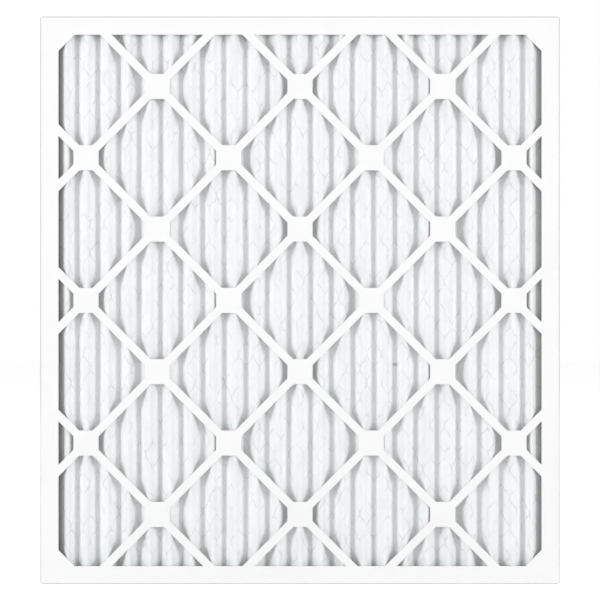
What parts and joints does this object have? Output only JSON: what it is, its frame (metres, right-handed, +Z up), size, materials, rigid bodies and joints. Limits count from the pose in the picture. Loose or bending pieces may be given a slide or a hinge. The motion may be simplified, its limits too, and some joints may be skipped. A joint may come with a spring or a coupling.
{
  "type": "pleated panel air filter",
  "caption": "Flat pleated panel air filter: nested die-cut board trays with a diagonal strap lattice hold a pleated nonwoven sheet backed by expanded metal.",
  "frame": {"origin": "centre of the bottom edge: middle of the width and of the depth, on the surface that the panel stands on", "axes": "+X across the panel's width, +Z up its height, +Y through its depth with the airflow; the air-entering face looks along -Y"},
  "size_m": [0.5462, 0.019, 0.5969],
  "materials": {
    "frame_board": "clay-coated white board, smooth and slightly satin, raw kraft inside",
    "filter_media": "lofty white nonwoven, matt",
    "galvanised_mesh": "galvanised expanded steel, dull spangle"
  },
  "bodies": {
    "root": {"front_frame": "frame_board", "back_frame": "frame_board", "pleated_media": "filter_media", "wire_backing": "galvanised_mesh"}
  },
  "joints": []
}
